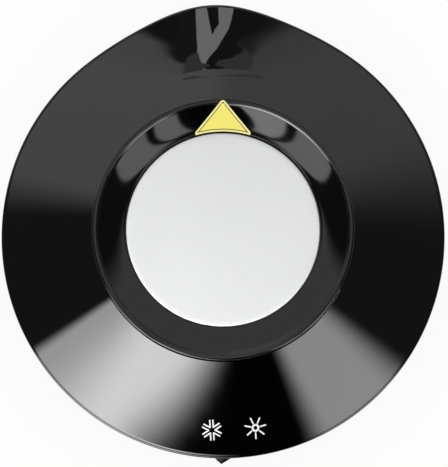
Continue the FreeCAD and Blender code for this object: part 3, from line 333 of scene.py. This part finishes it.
def raised_strips(name, strips, surface, foot, crown):
    """Closed thin solids over a curved surface: each strip's two edge lines are joined by five columns,
    raised by crown in the middle of the strip, and mirrored below at depth foot."""
    points, faces = [], []
    for left, right in strips:
        base = len(points)
        part = np.linspace(0, 1, 5)
        grid = left[:, None, :] * (1 - part[None, :, None]) + right[:, None, :] * part[None, :, None]
        level = surface(grid[..., 0], grid[..., 1])
        lift = crown * np.sin(np.pi * np.clip(part * 0.9 + 0.05, 0, 1))[None, :]
        upper = np.concatenate([grid, (level + lift)[..., None]], axis=-1).reshape(-1, 3)
        lower = np.concatenate([grid, (level - foot)[..., None]], axis=-1).reshape(-1, 3)
        points += upper.tolist() + lower.tolist()
        faces += film_faces(*level.shape, base)
    mesh = bpy.data.meshes.new(name)
    mesh.from_pydata(points, [], faces)
    return smooth_piece(name, mesh)


def over_cover(x, y):
    return cover_height(np.hypot(x, y), np.arctan2(x, y))


def toward(angle, distance):
    """Plan point at a distance and a compass angle, from +Y towards +X."""
    return np.array([math.sin(angle), math.cos(angle)]) * distance


snow_centre = np.array([-mark_x, -mark_y])
snow_spread, snow_arm = 0.00053, 0.0032
snow_strips = []
for chevron in range(6):
    middle = math.radians(30 + 60 * chevron)
    tip = snow_centre + toward(middle, snow_spread / math.sin(math.radians(30)))
    for side in (-1, 1):
        arm = middle + side * math.radians(30)
        end = snow_centre + toward(arm, snow_arm) + toward(arm - side * math.pi / 2, snow_spread)
        snow_strips.append(stroke_strip(tip, end, stroke_half))
mark_white = moulded("mark_white", (0.86, 0.86, 0.86), (0.92, 0.92, 0.92), (0.28, 0.38), 900.0, 5e-7)
snowflake = raised_strips("snowflake_mark", snow_strips, over_cover, mark_depth, mark_proud)
snowflake.data.materials.append(mark_white)
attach(snowflake, "base")
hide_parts("cool_light_guide")

sun_centre = np.array([mark_x, -mark_y])
sun_ring, sun_ring_half, ray_start, ray_end = 0.00098, 0.00033, 0.0017, 0.0035
sun_strips = []
for ray in range(7):
    heading = math.pi + 2 * math.pi * ray / 7
    sun_strips.append(stroke_strip(sun_centre + toward(heading, ray_start),
                                   sun_centre + toward(heading, ray_end), stroke_half))
round_ring = np.linspace(0, 2 * np.pi, 49)
ring_way = np.stack([np.sin(round_ring), np.cos(round_ring)], axis=-1)
sun_strips.append((sun_centre + ring_way * (sun_ring - sun_ring_half),
                   sun_centre + ring_way * (sun_ring + sun_ring_half)))
sun = raised_strips("sun_mark", sun_strips, over_cover, mark_depth, mark_proud)
sun.data.materials.append(mark_white)
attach(sun, "base")
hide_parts("heat_light_guide")


# Blank sticker. A rounded triangle of glossy yellow vinyl on the rear of the dish, with a thin
# dark line inside its border and its foot cut round to follow the plate. It carries no print.
label_turn = math.radians(3.0)
label_foot_radius, label_top, label_side, label_side_y = 0.0326, 0.0433, 0.0103, 0.0309
label_corner = 0.0010


def label_strips(inset):
    """Half widths of a rounded triangle at rows from its foot to its tip, in by an inset all round:
    the straight sides, cut by round corners of the sticker's corner radius."""
    corner = max(label_corner - inset, 0.0003)
    lean = math.atan2(label_top - label_side_y, label_side)
    top = label_top - inset / math.cos(lean)
    rise = math.tan(lean)
    foot = label_side_y + inset
    tip_centre = top - corner / math.cos(lean)
    row = np.concatenate([np.linspace(foot, tip_centre + corner * math.cos(lean), 60)[:-1],
                          tip_centre + corner * np.sin(np.linspace(math.pi / 2 - lean, math.pi / 2, 12))])
    half = (top - row) / rise
    rounded = np.sqrt(np.clip(corner ** 2 - (row - tip_centre) ** 2, 0, None))
    half = np.where(row > tip_centre + corner * math.cos(lean), rounded, half)
    side_x = (top - foot) / rise
    side_centre_x = side_x - corner / math.tan(lean / 2)
    side_round = side_centre_x + np.sqrt(np.clip(corner ** 2 - (row - foot - corner) ** 2, 0, None))
    touch = foot + corner + corner * math.cos(lean)
    half = np.where(row < touch, np.minimum(half, side_round), half)
    return row, half


def label_piece(name, inset, lift, thickness):
    """Closed film: a grid of rows across the triangle, each point pushed out to the foot's circle
    where it would fall on the plate, laid on the dish at a lift and given a thickness."""
    row, half = label_strips(inset)
    part = np.linspace(-1, 1, 61)
    x = half[:, None] * part[None, :]
    y = row[:, None] + 0 * x
    foot = label_foot_radius + inset
    low = np.sqrt(np.clip(foot ** 2 - x ** 2, 0, None))
    y = np.maximum(y, low)
    spun_x = x * math.cos(label_turn) + y * math.sin(label_turn)
    spun_y = y * math.cos(label_turn) - x * math.sin(label_turn)
    radius = np.hypot(spun_x, spun_y)
    level = np.where(radius < dish_outer, dish_height(radius), bead_height(radius))
    upper = np.stack([spun_x, spun_y, level + lift + thickness], axis=-1).reshape(-1, 3)
    lower = np.stack([spun_x, spun_y, level + lift], axis=-1).reshape(-1, 3)
    mesh = bpy.data.meshes.new(name)
    mesh.from_pydata(np.concatenate([upper, lower]).tolist(), [], film_faces(*x.shape))
    work = bmesh.new()
    work.from_mesh(mesh)
    bmesh.ops.remove_doubles(work, verts=work.verts, dist=1e-6)
    bmesh.ops.dissolve_degenerate(work, edges=work.edges, dist=1e-7)
    work.to_mesh(mesh)
    work.free()
    return smooth_piece(name, mesh)


backing = label_piece("label_border", 0.0, 0.00001, 0.00010)
backing.data.materials.append(moulded("border_vinyl", (0.92, 0.84, 0.30), (0.96, 0.88, 0.36), (0.22, 0.32),
                                      700.0, 3e-7))
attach(backing, "base")
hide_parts("label_backing")
line = label_piece("label_line", 0.00062, 0.00006, 0.00006)
line.data.materials.append(moulded("dark_ink", (0.02, 0.02, 0.01), (0.03, 0.03, 0.015), (0.25, 0.35), 700.0,
                                   3e-7))
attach(line, "base")
yellow = label_piece("label_field", 0.00088, 0.00008, 0.00006)
yellow.data.materials.append(moulded("yellow_vinyl", (0.93, 0.82, 0.14), (0.97, 0.86, 0.18), (0.22, 0.32),
                                     700.0, 3e-7))
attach(yellow, "base")
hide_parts("label_face")


# Base pan, rear panel and switch body. Satin black mouldings with a fine spark-eroded grain:
# their CAD meshes are copied, welded and shaded smooth, because their shape is right.
satin_black = moulded("satin_black_abs", (0.010, 0.010, 0.011), (0.016, 0.016, 0.017), (0.38, 0.50), 1500.0,
                      8e-6)


def welded_copy(node, name, material, body="base"):
    """Copy of a CAD node's mesh with its loose triangles merged, smooth across gentle edges."""
    mesh = frame["nodes"][node].data.copy()
    mesh.materials.clear()
    piece = smooth_piece(name, mesh, 30.0)
    mesh.materials.append(material)
    mesh.polygons.foreach_set("material_index", [0] * len(mesh.polygons))
    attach(piece, body)
    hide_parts(node)
    return piece


welded_copy("base_pan", "pan", satin_black)
welded_copy("rear_panel", "hood_panel", satin_black)
switch_black = moulded("switch_black_nylon", (0.008, 0.008, 0.008), (0.013, 0.013, 0.013), (0.28, 0.38),
                       1100.0, 4e-6)
welded_copy("switch_frame", "switch_body", switch_black)
welded_copy("inlet_socket", "socket_barrel", switch_black)
welded_copy("rubber_feet", "feet", moulded("foot_rubber", (0.02, 0.02, 0.021), (0.032, 0.032, 0.034),
                                           (0.65, 0.8), 1300.0, 1e-5))


# Rocker. A moulded nylon cap with two faces that meet in a shallow valley. It tilts on two
# stubs about an upright axis, and its left end stands out while heat is selected.
rocker_black = moulded("rocker_black_nylon", (0.002, 0.002, 0.002), (0.004, 0.004, 0.004), (0.16, 0.24),
                       1100.0, 2e-6)
rocker_black.node_tree.nodes["Principled BSDF"].inputs["IOR"].default_value = 1.3
welded_copy("rocker_cap", "rocker", rocker_black, "rocker")


# Inside pieces. They show only through the vents, the fan opening and from below, and keep
# their CAD meshes with a finish each.
def metal(name, dark, light, rough, grain, grain_height):
    """A moulded finish turned into metal."""
    material = moulded(name, dark, light, rough, grain, grain_height)
    material.node_tree.nodes["Principled BSDF"].inputs["Metallic"].default_value = 1.0
    return material


finishes = {
    "heat_sink": metal("extruded_aluminium", (0.62, 0.63, 0.64), (0.74, 0.75, 0.76), (0.3, 0.45), 700.0,
                       4e-6),
    "screw_steel": metal("zinc_steel", (0.50, 0.50, 0.50), (0.66, 0.66, 0.67), (0.25, 0.4), 1200.0, 3e-6),
    "bearing": metal("sintered_bronze", (0.50, 0.33, 0.15), (0.62, 0.43, 0.22), (0.4, 0.55), 1800.0, 6e-6),
    "contact": metal("plated_brass", (0.62, 0.48, 0.24), (0.74, 0.60, 0.34), (0.2, 0.35), 900.0, 2e-6),
    "winding": metal("enamelled_copper", (0.42, 0.16, 0.05), (0.58, 0.26, 0.10), (0.25, 0.4), 2500.0, 2e-5),
    "magnet": moulded("ferrite", (0.05, 0.05, 0.055), (0.08, 0.08, 0.085), (0.5, 0.65), 1400.0, 8e-6),
    "ceramic": moulded("alumina", (0.78, 0.77, 0.74), (0.86, 0.85, 0.82), (0.5, 0.6), 1500.0, 4e-6),
    "silicone": moulded("grey_silicone", (0.36, 0.36, 0.37), (0.44, 0.44, 0.45), (0.5, 0.6), 1000.0, 5e-6),
    "foam": moulded("black_foam", (0.03, 0.03, 0.032), (0.06, 0.06, 0.063), (0.85, 0.95), 1600.0, 1e-4),
    "fan_plastic": moulded("fan_black_pbt", (0.02, 0.02, 0.021), (0.03, 0.03, 0.031), (0.35, 0.45), 1300.0,
                           5e-6),
    "board": moulded("green_solder_mask", (0.008, 0.12, 0.04), (0.015, 0.17, 0.06), (0.25, 0.35), 600.0,
                     6e-6),
    "component": moulded("component_black", (0.02, 0.02, 0.022), (0.035, 0.035, 0.037), (0.4, 0.5), 1400.0,
                         4e-6),
    "socket_plastic": moulded("ivory_nylon", (0.66, 0.63, 0.52), (0.74, 0.71, 0.60), (0.4, 0.5), 1200.0,
                              4e-6),
    "lamp": moulded("lamp_cap", (0.80, 0.76, 0.56), (0.86, 0.83, 0.64), (0.1, 0.2), 500.0, 1e-6),
    "lead_red": moulded("red_insulation", (0.35, 0.015, 0.012), (0.42, 0.025, 0.02), (0.35, 0.45), 800.0,
                        3e-6),
    "lead_black": moulded("black_insulation", (0.015, 0.015, 0.015), (0.022, 0.022, 0.022), (0.35, 0.45),
                          800.0, 3e-6),
}
for part in frame["record"]["subparts"]:
    node = frame["nodes"][part["node"]]
    if not node.hide_render:
        node.data.materials.clear()
        node.data.materials.append(finishes[part["material_slot"]])


# Studio. A white floor and a white surround, a large soft box low at the front left, a smaller
# one at the front right, dark flags between and beside them, and a row of panels overhead.
def smooth_step(value):
    value = np.clip(value, 0, 1)
    return value * value * (3 - 2 * value)


def band(value, first, last, soft):
    """One between two edges and nought outside them, easing over a soft width inside each."""
    return smooth_step((value - first) / soft) * smooth_step((last - value) / soft)


def studio_card(name, first, last, elevations, strength, distance, level=0.0, soft=3.0, lean_reach=20.0):
    """Patch of a sphere round the object. Each side edge is its compass angle at the reference
    elevation, its lean in degrees per degree of elevation, up to a reach from there, and the width
    of its soft margin, which fades inwards; bottom and top fade over the soft angle."""
    low, high = elevations
    rise = np.linspace(low, high, 60)
    above = np.clip(rise - level, -lean_reach, lean_reach)
    start, end = first[0] + first[1] * above, last[0] + last[1] * above
    heading, rise = np.meshgrid(np.linspace(start.min(), end.max(), 90), rise, indexing="ij")
    fade = (smooth_step((heading - start) / first[2]) * smooth_step((end - heading) / last[2])
            * band(rise, low, high, soft))
    turn, tilt = np.radians(heading), np.radians(rise)
    points = np.stack([np.sin(turn) * np.cos(tilt), np.cos(turn) * np.cos(tilt), np.sin(tilt)],
                      axis=-1) * distance
    return lit_sheet(name, points, fade, strength)


def level_points(x, y, height):
    return np.stack([x, y, 0 * x + height], axis=-1)


def lit_sheet(name, points, fade, strength):
    """Sheet on a grid of points that glows where its fade is one and is clear where it is nought.
    The camera doesn't see it, it casts no shadow, and it shows in glossy surfaces only."""
    rows, columns = fade.shape
    row, column = np.meshgrid(np.arange(rows - 1), np.arange(columns - 1), indexing="ij")
    corner = (row * columns + column).ravel()
    quads = np.stack([corner, corner + 1, corner + columns + 1, corner + columns], axis=-1)
    mesh = bpy.data.meshes.new(name)
    mesh.from_pydata(points.reshape(-1, 3).tolist(), [], quads.tolist())
    mask = mesh.attributes.new("fade", "FLOAT", "POINT")
    mask.data.foreach_set("value", fade.ravel().astype(np.float32))
    card = bpy.data.objects.new(name, mesh)
    bpy.context.scene.collection.objects.link(card)
    card.visible_camera = False
    card.visible_diffuse = False
    card.visible_shadow = False
    material = bpy.data.materials.new(name)
    material.use_nodes = True
    nodes = material.node_tree.nodes
    nodes.remove(nodes["Principled BSDF"])
    glow = nodes.new("ShaderNodeEmission")
    glow.inputs["Strength"].default_value = strength
    clear = nodes.new("ShaderNodeBsdfTransparent")
    mix = nodes.new("ShaderNodeMixShader")
    share = nodes.new("ShaderNodeAttribute")
    share.attribute_name = "fade"
    link_all(material, [(share, "Fac", mix, "Fac"), (mix, "Shader", nodes["Material Output"], "Surface")])
    material.node_tree.links.new(clear.outputs[0], mix.inputs[1])
    material.node_tree.links.new(glow.outputs[0], mix.inputs[2])
    mesh.materials.append(material)
    return card


# Low ring, which the cone shows: soft boxes, flags between them and a wall at the right.
studio_card("box_front_left", (187.2, -5.0, 24), (243, 0, 25), (4, 50), 12.0, 1.20, 20.0, 5, 2.0)
studio_card("box_far_left", (208, 0, 12), (247.5, 0, 4), (4, 50), 5.7, 1.22, 20.0, 5)
studio_card("box_front_right", (122, 0, 12), (160.5, 0, 10), (4, 50), 4.65, 1.20, 19.0, 5)
studio_card("flag_front", (150, 0, 8), (215, 0, 8), (1, 62), 0.0, 1.30, 15.0)
studio_card("flag_left", (236, 0, 8), (297, 0.25, 14), (1, 62), 0.10, 1.32, 15.0)
studio_card("flag_right", (57, -0.6, 34), (130, 0, 6), (1, 62), 0.10, 1.32, 12.0)
studio_card("wall_right", (-6, 0, 16), (100, 0, 10), (1, 62), 0.73, 1.36, 15.0)
studio_card("dusk_left", (262, 0, 8), (336, 0, 16), (34, 60), 0.13, 1.30, 45.0, 8)
studio_card("dusk_right", (12, 0, 16), (80, 0, 8), (34, 60), 0.22, 1.30, 45.0, 10)

# Overhead, which the dish shows: panels in two rows and a dim ceiling between and beside them.
studio_card("panel_left_inner", (201, 1.3, 2), (226.5, 0.7, 2), (58, 86), 3.4, 1.15, 75.0)
studio_card("panel_left_outer", (230.5, 0.7, 2), (264, 1.1, 3), (58, 87), 2.2, 1.15, 73.0)
studio_card("panel_right_inner", (135.5, -0.73, 2), (155, -0.3, 2), (58, 86), 2.1, 1.15, 75.0)
studio_card("panel_right_outer", (100.5, -1.2, 3), (131.5, -0.73, 2), (58, 87), 1.95, 1.15, 75.0)
studio_card("ceiling_left", (240, 0, 4), (308, 0, 14), (58, 89), 0.06, 1.20, 73.0)
studio_card("ceiling_right", (50, 0, 18), (120, 0, 4), (58, 89), 0.06, 1.20, 73.0)
studio_card("ceiling_front", (100, 0, 4), (262, 0, 4), (58, 89.5), 0.01, 1.22, 73.0)
studio_card("ceiling_back", (-70, 0, 8), (70, 0, 8), (58, 89), 0.72, 1.24, 73.0)

# A small reflector close over the hood gives its ridge the bright wedge with the dark lens in it.
# A screen under it keeps the wedge off the crease, and a shade above keeps the rest dark.
reflector_height, screen_height, shade_height = 0.0475, 0.034, 0.104
reflector_x, reflector_y = np.meshgrid(np.linspace(-0.024, 0.032, 225), np.linspace(0.057, 0.080, 93),
                                       indexing="ij")
wedge_left = np.interp(reflector_y, [0.0580, 0.0632, 0.0672, 0.0729, 0.0776],
                       [-0.0150, -0.0162, -0.0172, -0.0162, -0.0148])
wedge_right = np.interp(reflector_y, [0.0580, 0.0601, 0.0626, 0.0664, 0.0695, 0.0723, 0.0763],
                        [-0.0100, -0.0033, 0.0041, 0.0118, 0.0181, 0.0211, 0.0237])
wedge = (band(reflector_x, wedge_left, wedge_right, 0.0012)
         * smooth_step((reflector_y - 0.0580) / 0.0008) * smooth_step((0.0795 - reflector_y) / 0.0010))
lens_left = np.interp(reflector_y, [0.0674, 0.0708, 0.0733, 0.0774], [0.0, -0.0018, -0.0027, -0.0039])
lens_right = np.interp(reflector_y, [0.0674, 0.0691, 0.0710, 0.0738, 0.0772],
                       [0.0007, 0.0025, 0.0072, 0.0070, 0.0067])
lens = (smooth_step((reflector_x - lens_left) / 0.0010 + 0.5)
        * smooth_step((lens_right - reflector_x) / 0.0010 + 0.5)
        * smooth_step((reflector_y - 0.0672) / 0.0008))
lit_sheet("hood_reflector", level_points(reflector_x, reflector_y, reflector_height), wedge * (1 - lens), 2.6)
screen_x, screen_y = np.meshgrid(np.linspace(-0.014, 0.020, 137), np.linspace(0.0555, 0.0645, 73),
                                 indexing="ij")
screen_right = np.interp(screen_y, [0.057, 0.058, 0.059, 0.060, 0.061, 0.062, 0.063],
                         [0.0005, 0.0015, 0.0060, 0.0083, 0.0100, 0.0122, 0.0142])
screen_left = np.interp(screen_y, [0.057, 0.058, 0.059, 0.060, 0.061],
                        [-0.0015, -0.0046, -0.0054, -0.0060, -0.0064])
right_half = (smooth_step((screen_x - screen_right) / 0.0006) * smooth_step((0.0641 - screen_y) / 0.0006)
              * smooth_step((0.0190 - screen_x) / 0.002))
left_half = (smooth_step((screen_left - screen_x) / 0.0006) * smooth_step((0.0618 - screen_y) / 0.0006)
             * smooth_step((screen_x + 0.0130) / 0.002))
lit_sheet("crease_screen", level_points(screen_x, screen_y, screen_height),
          np.maximum(right_half, left_half) * smooth_step((screen_y - 0.0558) / 0.0008), 0.52)
shade_x, shade_y = np.meshgrid(np.linspace(-0.060, 0.080, 141), np.linspace(0.055, 0.092, 75), indexing="ij")
lit_sheet("lens_shade", level_points(shade_x, shade_y, shade_height),
          band(shade_x, -0.058, 0.076, 0.003) * band(shade_y, 0.056, 0.091, 0.003), 0.10)

# World and floor: white where they are seen, and a little under white as light on matt surfaces.
object_light, floor_glow = 0.95, 0.9
world = bpy.data.worlds.new("studio")
bpy.context.scene.world = world
world.use_nodes = True
sky = world.node_tree.nodes["Background"]
sky.inputs["Color"].default_value = (1, 1, 1, 1)
path = world.node_tree.nodes.new("ShaderNodeLightPath")
seen = world.node_tree.nodes.new("ShaderNodeMath")
seen.operation = "MAXIMUM"
seen_through = world.node_tree.nodes.new("ShaderNodeMath")
seen_through.operation = "MAXIMUM"
level = world.node_tree.nodes.new("ShaderNodeMapRange")
level.inputs["To Min"].default_value = object_light
level.inputs["To Max"].default_value = 1.0
tree = world.node_tree.links
tree.new(path.outputs["Is Camera Ray"], seen.inputs[0])
tree.new(path.outputs["Is Glossy Ray"], seen.inputs[1])
tree.new(seen.outputs[0], seen_through.inputs[0])
tree.new(path.outputs["Is Transmission Ray"], seen_through.inputs[1])
tree.new(seen_through.outputs[0], level.inputs["Value"])
tree.new(level.outputs["Result"], sky.inputs["Strength"])

bpy.ops.mesh.primitive_plane_add(size=8.0)
floor = bpy.context.object
floor.name = "floor"
floor_white = bpy.data.materials.new("floor_white")
floor_white.use_nodes = True
floor_nodes = floor_white.node_tree.nodes
paper = floor_nodes["Principled BSDF"]
paper.inputs["Base Color"].default_value = (0.9, 0.9, 0.9, 1)
paper.inputs["Roughness"].default_value = 0.9
lit = floor_nodes.new("ShaderNodeEmission")
floor_path = floor_nodes.new("ShaderNodeLightPath")
share = floor_nodes.new("ShaderNodeMath")
share.operation = "MULTIPLY"
share.inputs[1].default_value = floor_glow
blend = floor_nodes.new("ShaderNodeMixShader")
link_all(floor_white, [(floor_path, "Is Camera Ray", share, 0), (share, "Value", blend, "Fac"),
                       (blend, "Shader", floor_nodes["Material Output"], "Surface")])
floor_white.node_tree.links.new(paper.outputs[0], blend.inputs[1])
floor_white.node_tree.links.new(lit.outputs[0], blend.inputs[2])
floor.data.materials.append(floor_white)
